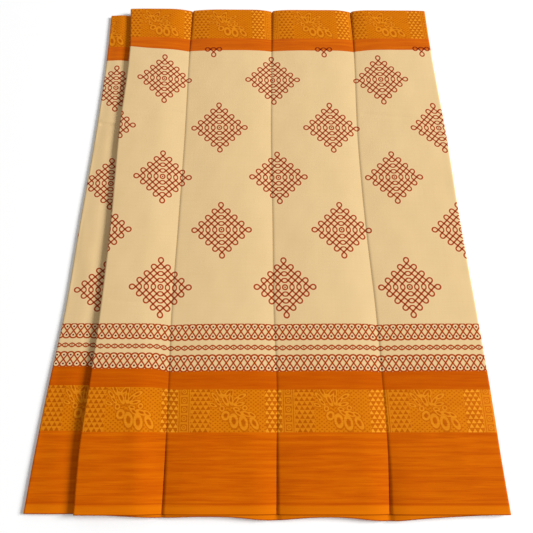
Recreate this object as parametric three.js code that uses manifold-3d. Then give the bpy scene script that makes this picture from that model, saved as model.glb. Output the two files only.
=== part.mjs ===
import * as THREE from 'three';
import { mergeVertices } from 'three/addons/utils/BufferGeometryUtils.js';
import Module from 'manifold-3d';

// A cotton saree folded lengthwise into a flat stack and opened out again by two folds,
// so that four pleats of its face lie side by side over the rest of the cloth.
// Millimetres. X runs across the pleats, Y from selvedge to selvedge, Z up from the table.
// The origin is on the table under the middle of the stack.

// Cloth
const CLOTH_WIDTH = 1105; // selvedge to selvedge, a 44 inch loom width with its starch
const WALL = 1.2; // cloth with its starch and nap, as a wall
const GAP = 0.3; // left between pieces that touch
const HEM_REACH = 10; // how far a lower layer's hem shows past the near selvedge

// Selvedges of the top layer, set so that the stack with its hem is centred on the origin
const FAR = (CLOTH_WIDTH + HEM_REACH) / 2;
const NEAR = FAR - CLOTH_WIDTH;
const FAR_SLANT = 5; // the far selvedge lies a little nearer at its right end
const UNDER_FAR = FAR - 11; // the pleat beneath has slid back at the far selvedge
const UNDER_NEAR = NEAR + 1;

// Where the folds run, seen from above: a row for each station from the near selvedge
const FOLD_LINES = [
  { y: -547, under: -424.5, front: -334, crease1: -183, crease2: 17, crease3: 213.5, right: 424.5 },
  { y: -450, under: -419, front: -336, crease1: -182, crease2: 18, crease3: 217.5, right: 420 },
  { y: -330, under: -410, front: -330, crease1: -183, crease2: 19, crease3: 216, right: 416.5 },
  { y: -200, under: -398, front: -325, crease1: -185.5, crease2: 14, crease3: 213, right: 411 },
  { y: 10, under: -388.5, front: -322, crease1: -182.5, crease2: 12, crease3: 203, right: 401 },
  { y: 190, under: -379.5, front: -324.5, crease1: -180, crease2: 9.5, crease3: 199, right: 396 },
  { y: 450, under: -373.5, front: -320, crease1: -180, crease2: 11.5, crease3: 203, right: 384 },
  { y: 557, under: -375, front: -327.5, crease1: -179, crease2: 12, crease3: 201.5, right: 382 },
];

// Height of the stack's face: lower at the selvedges, fuller from END_RUN inwards
const END_HEIGHT = 13;
const MIDDLE_HEIGHT = 17;
const END_RUN = 170;
const EDGE_DROP = 2; // the face eases down towards its two outer folds
const EDGE_RUN = 45;

// Each crease is a valley, with a long easy side to its left and a short steep one to its right
const EASY_SIDE = 92;
const STEEP_SIDE = 44;
const CREASE_BEND = 2.2;
const CREASES = [
  { line: 'crease1', endFloor: 9.5, middleFloor: 7 },
  { line: 'crease2', endFloor: 9.5, middleFloor: 9 },
  { line: 'crease3', endFloor: 9, middleFloor: 8 },
];

// Pleats of the face, left to right, between the lines that bound them
const PLEATS = [
  { name: 'pleat_1', left: 'front', right: 'crease1', rise: 1.5, color: 0xe3c48f },
  { name: 'pleat_2', left: 'crease1', right: 'crease2', rise: 0, color: 0xe1c28d },
  { name: 'pleat_3', left: 'crease2', right: 'crease3', rise: 0.4, color: 0xe3c48f },
  { name: 'pleat_4', left: 'crease3', right: 'right', rise: 0, color: 0xe2c38e },
];

// The pleat beneath, on the lower half of the stack
const UNDER_TOP = 6;
const UNDER_CROWN = 1.4;
const TUCK = 46; // how far it runs in under pleat 1, and how far pleat 1 turns back under itself

// Outer folds: half the depth of each turn across the stack, and the lip left on the table
const FRONT_TURN = 6;
const RIGHT_TURN = 12;
const UNDER_TURN = 4;
const LIP = 24;

// The lower layer's hem at the near selvedge, furthest out at the creases
const HEM_ROOT = NEAR + 46;
const HEM_EASE = 8; // over which the layers behind the hem rise to the face again
const HEM_DROOP = 0.12;
const HEM_LEFT = -304;
const HEM_RIGHT = 390;
const HEM_WAVES = [
  { at: -185, reach: 4.6, spread: 70 },
  { at: -80, reach: 1.8, spread: 50 },
  { at: 5, reach: 8, spread: 55 },
  { at: 90, reach: 3, spread: 70 },
  { at: 210, reach: 9.8, spread: 62 },
  { at: 300, reach: 3.2, spread: 60 },
];

// Edges of the hidden layers, which stand out from the ends of their solid
const CORE_SETBACK = 16;
const LAYER_ROOT = 10;
const LAYER_WALL = 1.3;
const LAYERS = [
  { between: 'lips', share: 0.3, reach: 8, wave: 2.5, length: 310, phase: 0.4 },
  { between: 'lower folds', share: 0.45, reach: 11, wave: 2, length: 240, phase: 2.1 },
  { between: 'upper folds', share: 0.12, reach: 7, wave: 3, length: 205, phase: 1.2 },
  { between: 'upper folds', share: 0.7, reach: 10.5, wave: 2.5, length: 270, phase: 3.6 },
];

// Fineness of the surfaces
const ROW_STEPS = 20;
const PLEAT_STEPS = 11;
const TURN_STEPS = 8;
const UNDER_STEPS = 6;
const HEM_STEPS = 4;
const LAYER_STEPS = 6;
const LEAST_ROW = 1.2; // rows of points lie no closer than this

const wasm = await Module();
wasm.setup();

const lineY = FOLD_LINES.map((station) => station.y);
const lines = {};
for (const name of Object.keys(FOLD_LINES[0])) {
  const values = FOLD_LINES.map((station) => station[name]);
  lines[name] = new THREE.CubicInterpolant(lineY, values, 1);
}

/** X of a fold line at y. */
function lineAt(name, y) {
  return lines[name].evaluate(THREE.MathUtils.clamp(y, lineY[0], lineY[lineY.length - 1]))[0];
}

/** Shares from 0 to 1, closer together at both ends. */
function easedShares(steps) {
  return Array.from({ length: steps + 1 }, (_, k) => (1 - Math.cos((Math.PI * k) / steps)) / 2);
}

/** 0 at either selvedge, 1 from END_RUN inwards. */
function fullness(y) {
  return THREE.MathUtils.smoothstep(Math.min(y - NEAR, FAR - y), 0, END_RUN);
}

/** The pleat that x lies on. */
function pleatAt(x, y) {
  return PLEATS.find((pleat) => x < lineAt(pleat.right, y)) ?? PLEATS.at(-1);
}

/** Height of the top layer's face at x, on the pleat given or the one that x lies on. */
function faceHeight(x, y, pleat = pleatAt(x, y)) {
  const full = fullness(y);
  const plateau = THREE.MathUtils.lerp(END_HEIGHT, MIDDLE_HEIGHT, full) + pleat.rise;
  let z = plateau;
  for (const crease of CREASES) {
    const across = x - lineAt(crease.line, y);
    const side = across < 0 ? EASY_SIDE : STEEP_SIDE;
    const share = Math.max(0, 1 - Math.abs(across) / side);
    const floor = THREE.MathUtils.lerp(crease.endFloor, crease.middleFloor, full);
    z -= (plateau - floor) * share ** CREASE_BEND;
  }
  const inwards = Math.min(x - lineAt('front', y), lineAt('right', y) - x);
  return z - EDGE_DROP * Math.max(0, 1 - inwards / EDGE_RUN) ** 2;
}

/** Section of a pleat's face from its left bound to its right bound. */
function faceSection(pleat, y, inset) {
  const turns = { front: FRONT_TURN, right: -RIGHT_TURN };
  const left = lineAt(pleat.left, y) + (turns[pleat.left] ?? inset);
  const right = lineAt(pleat.right, y) + (turns[pleat.right] ?? -inset);
  return easedShares(PLEAT_STEPS).map((share) => {
    const x = THREE.MathUtils.lerp(left, right, share);
    return new THREE.Vector2(x, faceHeight(x, y, pleat));
  });
}

/** Half an ellipse round a fold, from its lower side to its upper side. side is -1 left, 1 right. */
function turnSection(edge, side, across, low, high) {
  const centre = edge - side * across;
  const half = (high - low) / 2;
  return Array.from({ length: TURN_STEPS + 1 }, (_, k) => {
    const angle = (Math.PI * k) / TURN_STEPS;
    const x = centre + side * across * Math.sin(angle);
    return new THREE.Vector2(x, low + half * (1 - Math.cos(angle)));
  });
}

/** Pleat 1 from the end of its return, round its fold and over its face. */
function firstPleatSection(y, inset) {
  const face = faceSection(PLEATS[0], y, inset);
  const low = UNDER_TOP + GAP;
  const edge = lineAt('front', y);
  const turn = turnSection(edge, -1, FRONT_TURN, low, face[0].y);
  return [new THREE.Vector2(edge + TUCK, low), ...turn, ...face.slice(1)];
}

/** Pleat 4 over its face, round the thick right fold and back on its lip. */
function lastPleatSection(y, inset) {
  const face = faceSection(PLEATS[3], y, inset);
  const edge = lineAt('right', y);
  const turn = turnSection(edge, 1, RIGHT_TURN, 0, face[face.length - 1].y).reverse();
  const lip = new THREE.Vector2(edge - RIGHT_TURN - LIP, 0);
  return [...face.slice(0, -1), ...turn, lip];
}

/** The pleat beneath, from its lip on the table round its fold to its tucked edge. */
function underSection(y) {
  const edge = lineAt('under', y);
  const start = edge + UNDER_TURN;
  const shown = lineAt('front', y);
  const turn = turnSection(edge, -1, UNDER_TURN, 0, UNDER_TOP);
  const top = easedShares(UNDER_STEPS).map((share) => {
    const crown = UNDER_CROWN * Math.sin(Math.PI * share) ** 2;
    return new THREE.Vector2(THREE.MathUtils.lerp(start, shown, share), UNDER_TOP + crown);
  });
  const tucked = new THREE.Vector2(shown + TUCK, UNDER_TOP);
  return [new THREE.Vector2(start + LIP, 0), ...turn, ...top.slice(1), tucked];
}

/** A section moved to its right-hand side, which is the inside of every fold here. */
function insetSection(section, distance) {
  return section.map((point, k) => {
    const before = section[Math.max(k - 1, 0)];
    const after = section[Math.min(k + 1, section.length - 1)];
    const incoming = point.clone().sub(before).normalize();
    const outgoing = after.clone().sub(point).normalize();
    const along = incoming.clone().add(outgoing).normalize();
    const straight = k === 0 || k === section.length - 1;
    const stretch = straight ? 1 : 1 / along.dot(incoming);
    return new THREE.Vector2(along.y, -along.x).multiplyScalar(distance * stretch).add(point);
  });
}

/** Y of each row of points between two edges: the edges, and the rows that all pieces share. */
function rowsBetween(near, far) {
  const eased = easedShares(ROW_STEPS).map((share) => THREE.MathUtils.lerp(NEAR, FAR, share));
  const shared = [...eased, HEM_ROOT, HEM_ROOT + HEM_EASE].sort((a, b) => a - b);
  return [near, ...shared.filter((y) => y > near + LEAST_ROW && y < far - LEAST_ROW), far];
}

/** Vertices and faces gathered into one closed body with its faces pointing out. */
class Body {
  constructor() {
    this.points = [];
    this.faces = [];
  }

  addGrid(grid, flip) {
    const start = this.points.length;
    const columns = grid[0].length;
    grid.forEach((row) => this.points.push(...row));
    for (let i = 0; i < grid.length - 1; i += 1) {
      for (let j = 0; j < columns - 1; j += 1) {
        const a = start + i * columns + j;
        this.addQuad(a, a + 1, a + columns + 1, a + columns, flip);
      }
    }
  }

  addQuad(a, b, c, d, flip) {
    this.faces.push(...(flip ? [a, c, b, a, d, c] : [a, b, c, a, c, d]));
  }

  geometry() {
    const geometry = new THREE.BufferGeometry().setFromPoints(this.points);
    geometry.setIndex(this.faces);
    return mergeVertices(geometry, 1e-4);
  }
}

/** A wall of cloth between an outer and an inner grid of points, rows along Y. */
function wallGeometry(outer, inner) {
  const body = new Body();
  body.addGrid(outer, false);
  body.addGrid(inner, true);
  const last = outer.length - 1;
  const edge = (grid, column) => grid.map((row) => row.at(column));
  body.addGrid([inner[0], outer[0]], false);
  body.addGrid([outer[last], inner[last]], false);
  body.addGrid([edge(outer, 0), edge(inner, 0)], false);
  body.addGrid([edge(inner, -1), edge(outer, -1)], false);
  return body.geometry();
}

/** A point, drawn nearer as the far selvedge slants. */
function slanted(x, y, z) {
  const across = THREE.MathUtils.inverseLerp(lineAt('front', y), lineAt('right', y), x);
  const share = THREE.MathUtils.clamp(across, 0, 1) * Math.max(0, y / FAR);
  return new THREE.Vector3(x, y - FAR_SLANT * share, z);
}

/** A section laid at y. */
function placed(section, y) {
  return section.map((point) => slanted(point.x, y, point.y));
}

/** The wall whose outer section at each y is given. */
function foldedWall(near, far, sectionAt) {
  const rows = rowsBetween(near, far);
  const outer = rows.map((y) => placed(sectionAt(y), y));
  const inner = rows.map((y) => placed(insetSection(sectionAt(y), WALL), y));
  return wallGeometry(outer, inner);
}

/** Whole outer section of the face, from the return of pleat 1 to the lip of pleat 4. */
function frontSection(y) {
  return [
    ...firstPleatSection(y, 0),
    ...faceSection(PLEATS[1], y, 0).slice(1),
    ...faceSection(PLEATS[2], y, 0).slice(1),
    ...lastPleatSection(y, 0).slice(1),
  ];
}

/** How far the hidden layers lie lower at the near end, to make room for the hem on them. */
function hemRoom(x, y) {
  const along = 1 - THREE.MathUtils.smoothstep(y, HEM_ROOT, HEM_ROOT + HEM_EASE);
  const inwards = Math.min(x - lineAt('front', y), lineAt('right', y) - x);
  const across = THREE.MathUtils.smoothstep(inwards, RIGHT_TURN, 2 * RIGHT_TURN);
  return (WALL + GAP) * along * across;
}

/** Closed section of the hidden layers at y, clear of the walls that wrap them. */
function coreSection(y) {
  const under = insetSection(underSection(y), WALL + GAP);
  const front = insetSection(frontSection(y), WALL + GAP);
  const underside = WALL + GAP;
  const tucked = under.pop();
  const returned = front.shift();
  const upper = front.slice(TURN_STEPS, -TURN_STEPS);
  upper.forEach((point) => {
    point.y -= hemRoom(point.x, y);
  });
  const step = tucked.x + GAP;
  const rightFoot = front.pop().x - GAP;
  const leftFoot = under.shift().x + GAP;
  return [
    new THREE.Vector2(leftFoot, 0),
    new THREE.Vector2(leftFoot, underside),
    ...under,
    new THREE.Vector2(step, tucked.y),
    new THREE.Vector2(step, returned.y),
    ...front,
    new THREE.Vector2(rightFoot, underside),
    new THREE.Vector2(rightFoot, 0),
  ];
}

/** The solid that the hidden layers fill, with flat ends set back from the selvedges. */
function coreGeometry() {
  const rows = rowsBetween(NEAR + CORE_SETBACK, UNDER_FAR - CORE_SETBACK);
  const rings = rows.map((y) => placed(coreSection(y), y));
  const body = new Body();
  body.addGrid(rings.map((ring) => [...ring, ring[0]]), false);
  for (const [row, flip] of [[0, false], [rings.length - 1, true]]) {
    const start = body.points.length;
    const contour = rings[row].map((point) => new THREE.Vector2(point.x, point.z));
    body.points.push(...rings[row]);
    for (const [a, b, c] of THREE.ShapeUtils.triangulateShape(contour, [])) {
      body.faces.push(...(flip ? [start + a, start + c, start + b] : [start + a, start + b, start + c]));
    }
  }
  return body.geometry();
}

/** X of points from left to right at y, closer together at the creases between. */
function columnsBetween(left, right, y, steps) {
  const bounds = [left, ...CREASES.map((crease) => lineAt(crease.line, y)), right];
  const panels = bounds.slice(1).map((bound, k) => easedShares(steps).slice(0, -1)
    .map((share) => THREE.MathUtils.lerp(bounds[k], bound, share)));
  return [...panels.flat(), right];
}

/** Where a hidden layer runs at y: its left and right ends, and the height of its underside. */
function layerPlace(layer, y) {
  const [under, front, right] = ['under', 'front', 'right'].map((name) => lineAt(name, y));
  const clear = WALL + GAP;
  if (layer.between === 'upper folds') {
    const bottomAt = (x) => {
      const ceiling = faceHeight(x, y) - 2 * clear;
      return THREE.MathUtils.lerp(UNDER_TOP - clear, ceiling - LAYER_WALL, layer.share);
    };
    return { left: front + TUCK + clear, right: right - RIGHT_TURN - clear, bottomAt };
  }
  const lips = layer.between === 'lips' ? LIP + clear : clear;
  const bottomAt = () => THREE.MathUtils.lerp(0, UNDER_TOP - clear, layer.share);
  return { left: under + UNDER_TURN + lips, right: right - RIGHT_TURN - lips, bottomAt };
}

/** The edge of one hidden layer: a thin wavy wall standing out from one end of the core. */
function layerEdge(layer, end) {
  const outwards = Math.sign(end);
  const reaches = [-LAYER_ROOT, layer.reach];
  if (outwards < 0) {
    reaches.reverse();
  }
  const grid = (lift) => reaches.map((reach) => {
    const middle = end - outwards * (CORE_SETBACK - reach);
    const { left, right, bottomAt } = layerPlace(layer, middle);
    return columnsBetween(left, right, middle, LAYER_STEPS).map((x) => {
      const wave = layer.wave * Math.sin((2 * Math.PI * x) / layer.length + layer.phase);
      return slanted(x, middle + wave, bottomAt(x) + lift);
    });
  });
  return wallGeometry(grid(LAYER_WALL), grid(0));
}

/** A closed geometry as a solid that can be joined. */
function solidOf(geometry) {
  const mesh = new wasm.Mesh({
    numProp: 3,
    vertProperties: new Float32Array(geometry.attributes.position.array),
    triVerts: new Uint32Array(geometry.index.array),
  });
  return new wasm.Manifold(mesh);
}

/** The hidden layers as one solid: the core, and each layer's edge at both ends. */
function hiddenLayersGeometry() {
  let solid = solidOf(coreGeometry());
  for (const end of [NEAR, UNDER_FAR]) {
    for (const layer of LAYERS) {
      solid = solid.add(solidOf(layerEdge(layer, end)));
    }
  }
  const { vertProperties, triVerts } = solid.getMesh();
  const geometry = new THREE.BufferGeometry();
  geometry.setAttribute('position', new THREE.BufferAttribute(new Float32Array(vertProperties), 3));
  geometry.setIndex(Array.from(triVerts));
  return geometry;
}

/** How far the lower hem shows past the near selvedge at x. */
function hemShows(x) {
  const waves = HEM_WAVES.map((wave) => wave.reach * Math.exp(-(((x - wave.at) / wave.spread) ** 2)));
  return Math.min(HEM_REACH, waves.reduce((sum, reach) => sum + reach, 0));
}

/** The lower layer's hem, under the pleats' near ends and just past them. */
function hemGeometry() {
  const columns = columnsBetween(HEM_LEFT, HEM_RIGHT, NEAR, PLEAT_STEPS);
  const rows = Array.from({ length: HEM_STEPS + 1 }, (_, k) => k / HEM_STEPS);
  const grid = (depth) => rows.map((share) => columns.map((x) => {
    const y = THREE.MathUtils.lerp(NEAR - hemShows(x), HEM_ROOT, share);
    const past = Math.max(0, NEAR - y);
    const z = faceHeight(x, Math.max(y, NEAR)) - depth - HEM_DROOP * past;
    return new THREE.Vector3(x, y, z);
  }));
  return wallGeometry(grid(WALL + GAP), grid(2 * WALL + GAP));
}

function clothMesh(name, geometry, color) {
  const material = new THREE.MeshStandardMaterial({ color, roughness: 0.85, metalness: 0 });
  const mesh = new THREE.Mesh(geometry, material);
  mesh.name = name;
  return mesh;
}

const sections = {
  pleat_1: (y) => firstPleatSection(y, GAP / 2),
  pleat_2: (y) => faceSection(PLEATS[1], y, GAP / 2),
  pleat_3: (y) => faceSection(PLEATS[2], y, GAP / 2),
  pleat_4: (y) => lastPleatSection(y, GAP / 2),
};

const saree = new THREE.Group();
for (const pleat of PLEATS) {
  saree.add(clothMesh(pleat.name, foldedWall(NEAR, FAR, sections[pleat.name]), pleat.color));
}
saree.add(clothMesh('under_pleat', foldedWall(UNDER_NEAR, UNDER_FAR, underSection), 0xdebc86));
saree.add(clothMesh('under_hem', hemGeometry(), 0xbe5701));
saree.add(clothMesh('folded_layers', hiddenLayersGeometry(), 0xd9a766));

export default saree;
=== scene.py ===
import logging
import math
from dataclasses import dataclass
from enum import Enum

import bpy
import numpy as np
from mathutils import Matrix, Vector


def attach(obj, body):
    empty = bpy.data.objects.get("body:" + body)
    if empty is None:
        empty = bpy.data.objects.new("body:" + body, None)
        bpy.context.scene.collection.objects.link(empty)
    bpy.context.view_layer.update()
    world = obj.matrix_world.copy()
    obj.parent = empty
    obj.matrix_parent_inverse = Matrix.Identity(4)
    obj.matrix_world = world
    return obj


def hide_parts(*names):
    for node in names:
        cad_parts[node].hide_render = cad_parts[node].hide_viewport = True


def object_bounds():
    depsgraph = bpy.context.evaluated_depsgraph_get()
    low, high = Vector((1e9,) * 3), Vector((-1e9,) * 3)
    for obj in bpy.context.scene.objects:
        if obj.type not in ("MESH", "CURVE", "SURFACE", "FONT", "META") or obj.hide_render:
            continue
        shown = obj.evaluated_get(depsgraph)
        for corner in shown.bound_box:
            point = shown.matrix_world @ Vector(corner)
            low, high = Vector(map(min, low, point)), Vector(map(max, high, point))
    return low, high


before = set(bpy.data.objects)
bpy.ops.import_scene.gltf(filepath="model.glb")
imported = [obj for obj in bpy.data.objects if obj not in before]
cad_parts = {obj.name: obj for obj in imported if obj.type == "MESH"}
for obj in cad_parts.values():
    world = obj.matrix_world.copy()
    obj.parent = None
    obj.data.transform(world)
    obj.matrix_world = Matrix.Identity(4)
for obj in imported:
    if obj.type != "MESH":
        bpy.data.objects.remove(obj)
CAD_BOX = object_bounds()

log = logging.getLogger("saree")

MM = 0.001

# A distance that puts a line out of sight in a finish
FAR_AWAY = 9.0

# The stack, as the frame has it: X across the pleats, Y from selvedge to selvedge, Z up
CLOTH_WIDTH = 1.105
FAR = 0.5575
NEAR = FAR - CLOTH_WIDTH
FAR_SLANT = 0.005
UNDER_FAR = FAR - 0.011
UNDER_NEAR = NEAR + 0.001
END_HEIGHT = 0.0144
MIDDLE_HEIGHT = 0.017
END_RUN = 0.170
EDGE_DROP = 0.001
EDGE_RUN = 0.045
EASY_SIDE = (0.050, 0.072)
STEEP_MIDDLE = 0.085
STEP = 0.0015
STEP_RUN = 0.006
CREASE_BEND = 2.4
UNDER_TOP = 0.006
UNDER_CROWN = 0.0014
TUCK_DIP = 0.0011
TUCK = 0.046
FRONT_TURN = 0.0038
RIGHT_TURN = 0.0045
UNDER_TURN = 0.004
LIP = 0.024
GAP = 0.0003
SEAM_GAP = 2e-6
CLOTH = 0.0006
GRID = 0.0032
SLIT = 0.0035
SETBACK = 0.016
HEM_LEFT = -0.304
HEM_RIGHT = 0.390
HEM_ROOT = NEAR + 0.046
HEM_BELOW = 0.0015
HEM_DROOP = 0.12
HEM_CUT = 0.0505
HEM_SHIFT = 0.21

# The weave and the print, measured across the cloth from the middle of the face
ZARI_NEAR = -0.4127
ZARI_FAR = -0.3372
PRINT_NEAR = -0.3033
CREAM_NEAR = -0.213
CREAM_FAR = 0.434
TOP_ZARI = 0.4705
UV_NAME = "Cloth"


class Side(Enum):
    """Which way a fold turns."""

    LEFT = -1
    RIGHT = 1


class Value:
    """A number in a finish's node tree, which takes ordinary arithmetic."""

    def __init__(self, tree: bpy.types.NodeTree, socket: bpy.types.NodeSocket) -> None:
        """Keeps the tree and the socket that gives the number."""
        self.tree = tree
        self.socket = socket

    def math(self, operation: str, *others: "Value | float") -> "Value":
        """Adds a Math node.

        Args:
            operation: the node's operation.
            others: what it works on besides this number.

        Returns:
            The node's result.
        """
        node = self.tree.nodes.new("ShaderNodeMath")
        node.operation = operation
        for place, operand in zip(node.inputs, (self, *others)):
            if isinstance(operand, Value):
                self.tree.links.new(operand.socket, place)
            else:
                place.default_value = operand
        return Value(self.tree, node.outputs[0])

    def __add__(self, other: "Value | float") -> "Value":
        """Sum."""
        return self.math("ADD", other)

    def __sub__(self, other: "Value | float") -> "Value":
        """Difference."""
        return self.math("SUBTRACT", other)

    def __mul__(self, other: "Value | float") -> "Value":
        """Product."""
        return self.math("MULTIPLY", other)

    def __truediv__(self, other: "Value | float") -> "Value":
        """Quotient."""
        return self.math("DIVIDE", other)

    def __abs__(self) -> "Value":
        """Size without its sign."""
        return self.math("ABSOLUTE")

    def low(self, other: "Value | float") -> "Value":
        """The lower of two."""
        return self.math("MINIMUM", other)

    def high(self, other: "Value | float") -> "Value":
        """The higher of two."""
        return self.math("MAXIMUM", other)

    def below(self, other: "Value | float") -> "Value":
        """1 where this is less."""
        return self.math("LESS_THAN", other)

    def above(self, other: "Value | float") -> "Value":
        """1 where this is more."""
        return self.math("GREATER_THAN", other)

    def wrapped(self, half: float) -> "Value":
        """The number brought between -half and half."""
        return self.math("WRAP", half, -half)

    def rest(self) -> "Value":
        """What it lacks of 1."""
        return self * -1.0 + 1.0

    def chosen(self, zero: "Value", one: "Value") -> "Value":
        """zero where this is 0, one where it is 1."""
        return zero + (one - zero) * self

    def distance(self, other: "Value") -> "Value":
        """Distance from the origin, with this as X and the other as Y."""
        return (self * self + other * other).math("SQRT")

    def fade(self, full: float, none: float) -> "Value":
        """Fades smoothly between two numbers and stays level beyond them.

        Args:
            full: where the result is 1.
            none: where it is 0, above or below full.

        Returns:
            The result, between 0 and 1.
        """
        node = self.tree.nodes.new("ShaderNodeMapRange")
        node.interpolation_type = "SMOOTHSTEP"
        (low, at_low), (high, at_high) = sorted(((full, 1.0), (none, 0.0)))
        for place, number in zip(node.inputs[1:5], (low, high, at_low, at_high)):
            place.default_value = number
        self.tree.links.new(self.socket, node.inputs[0])
        return Value(self.tree, node.outputs[0])


class Dye(Enum):
    """Colours of the cloth, its print and its metal thread."""

    CREAM = (0.720, 0.515, 0.262)
    CREAM_DEEP = (0.670, 0.465, 0.215)
    CREAM_BLUSH = (0.860, 0.620, 0.370)
    ORANGE = (0.580, 0.108, 0.0004)
    ORANGE_DEEP = (0.450, 0.068, 0.0003)
    ORANGE_PALE = (0.690, 0.170, 0.0012)
    RUST = (0.350, 0.038, 0.0003)
    RUST_DEEP = (0.130, 0.003, 0.0006)
    GOLD = (0.655, 0.188, 0.0026)
    GOLD_DEEP = (0.440, 0.082, 0.0008)
    GOLD_PALE = (0.860, 0.330, 0.0180)


class Finish:
    """A finish of the cloth, drawn on its own flat place in metres."""

    NAP = {"Sheen Weight": 0.10, "Sheen Roughness": 0.5, "Specular IOR Level": 0.02}
    THREAD = 0.0011
    THREAD_RELIEF = 0.0002
    THREAD_STRENGTH = 0.35

    def __init__(self, name: str, nap: Dye) -> None:
        """Makes the material and reads the cloth's UV.

        Args:
            name: the material's name.
            nap: dye of the cloth's nap.
        """
        self.material = bpy.data.materials.new(name)
        self.material.use_nodes = True
        self.tree = self.material.node_tree
        self.shader = self.tree.nodes["Principled BSDF"]
        for socket_name, number in self.NAP.items():
            self.shader.inputs[socket_name].default_value = number
        self.shader.inputs["Sheen Tint"].default_value = (*nap.value, 1.0)
        place = self.tree.nodes.new("ShaderNodeUVMap")
        place.uv_map = UV_NAME
        split = self.tree.nodes.new("ShaderNodeSeparateXYZ")
        self.tree.links.new(place.outputs[0], split.inputs[0])
        self.u = Value(self.tree, split.outputs[0])
        self.v = Value(self.tree, split.outputs[1])

    def spot(self, u: Value, v: Value, depth: float = 0.0) -> bpy.types.NodeSocket:
        """Makes a vector.

        Args:
            u: its first number.
            v: its second number.
            depth: its third number, the same everywhere.

        Returns:
            The vector.
        """
        node = self.tree.nodes.new("ShaderNodeCombineXYZ")
        self.tree.links.new(u.socket, node.inputs[0])
        self.tree.links.new(v.socket, node.inputs[1])
        node.inputs[2].default_value = depth
        return node.outputs[0]

    def noise(self, across: float, along: float, depth: float, detail: float = 2.0) -> Value:
        """Uneven numbers about 0.5.

        Args:
            across: waves in a metre along the length of the saree.
            along: waves in a metre along its width.
            depth: which slice of the noise is read.
            detail: how many finer noises are added.

        Returns:
            The noise.
        """
        node = self.tree.nodes.new("ShaderNodeTexNoise")
        node.inputs["Scale"].default_value = 1.0
        node.inputs["Detail"].default_value = detail
        place = self.spot(self.u * across, self.v * along, depth)
        self.tree.links.new(place, node.inputs["Vector"])
        return Value(self.tree, node.outputs["Fac"])

    def colour(self, dye: Dye) -> bpy.types.NodeSocket:
        """Gives a dye a node of its own.

        Args:
            dye: the dye.

        Returns:
            Its colour.
        """
        node = self.tree.nodes.new("ShaderNodeRGB")
        node.outputs[0].default_value = (*dye.value, 1.0)
        return node.outputs[0]

    def laid(self, base: bpy.types.NodeSocket, over: Dye | bpy.types.NodeSocket,
             share: Value) -> bpy.types.NodeSocket:
        """Lays a colour on another.

        Args:
            base: colour beneath.
            over: dye or colour laid on it.
            share: how much of it there is.

        Returns:
            The mixed colour.
        """
        node = self.tree.nodes.new("ShaderNodeMix")
        node.data_type = "RGBA"
        self.tree.links.new(share.socket, node.inputs[0])
        self.tree.links.new(base, node.inputs[6])
        if isinstance(over, Dye):
            node.inputs[7].default_value = (*over.value, 1.0)
        else:
            self.tree.links.new(over, node.inputs[7])
        return node.outputs[2]

    def weave(self, extra: Value | None = None) -> None:
        """Raises the crossing threads as a fine bump.

        Args:
            extra: more height, in parts of a thread.
        """
        turn_rate = 2.0 * math.pi / self.THREAD
        warp = (self.u * turn_rate).math("SINE")
        weft = (self.v * turn_rate).math("SINE")
        uneven = self.noise(260.0, 900.0, 3.7, 1.0)
        height = warp * weft * 0.35 + uneven
        if extra is not None:
            height = height + extra
        bump = self.tree.nodes.new("ShaderNodeBump")
        bump.inputs["Strength"].default_value = self.THREAD_STRENGTH
        bump.inputs["Distance"].default_value = self.THREAD_RELIEF
        self.tree.links.new(height.socket, bump.inputs["Height"])
        self.tree.links.new(bump.outputs[0], self.shader.inputs["Normal"])

    def wear(self, colour: bpy.types.NodeSocket, roughness: float) -> bpy.types.Material:
        """Puts the colour on the cloth.

        Args:
            colour: colour at each place.
            roughness: how rough the cloth is.

        Returns:
            The material.
        """
        self.tree.links.new(colour, self.shader.inputs["Base Color"])
        self.shader.inputs["Roughness"].default_value = roughness
        return self.material


def cream_ground(finish: Finish) -> bpy.types.NodeSocket:
    """Unbleached cotton with its uneven threads.

    Args:
        finish: the finish that it belongs to.

    Returns:
        The colour.
    """
    slub = finish.noise(9.0, 420.0, 1.3).fade(0.72, 0.42)
    weft = finish.noise(380.0, 7.0, 8.1).fade(0.75, 0.40)
    cloud = finish.noise(9.0, 7.0, 5.0, 3.0).fade(0.70, 0.35)
    return finish.laid(finish.colour(Dye.CREAM), Dye.CREAM_DEEP, (slub + weft + cloud) * 0.16)


def orange_ground(finish: Finish) -> bpy.types.NodeSocket:
    """Dyed border with slubs that run along the length of the saree.

    Args:
        finish: the finish that it belongs to.

    Returns:
        The colour.
    """
    wide = finish.noise(7.0, 150.0, 2.2, 4.0)
    fine = finish.noise(26.0, 620.0, 6.4, 2.0)
    dark = wide.fade(0.30, 0.62) * 0.48 + fine.fade(0.30, 0.50) * 0.30
    light = wide.fade(0.72, 0.46) * 0.30 + fine.fade(0.72, 0.50) * 0.28
    ground = finish.laid(finish.colour(Dye.ORANGE), Dye.ORANGE_DEEP, dark)
    return finish.laid(ground, Dye.ORANGE_PALE, light)


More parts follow.
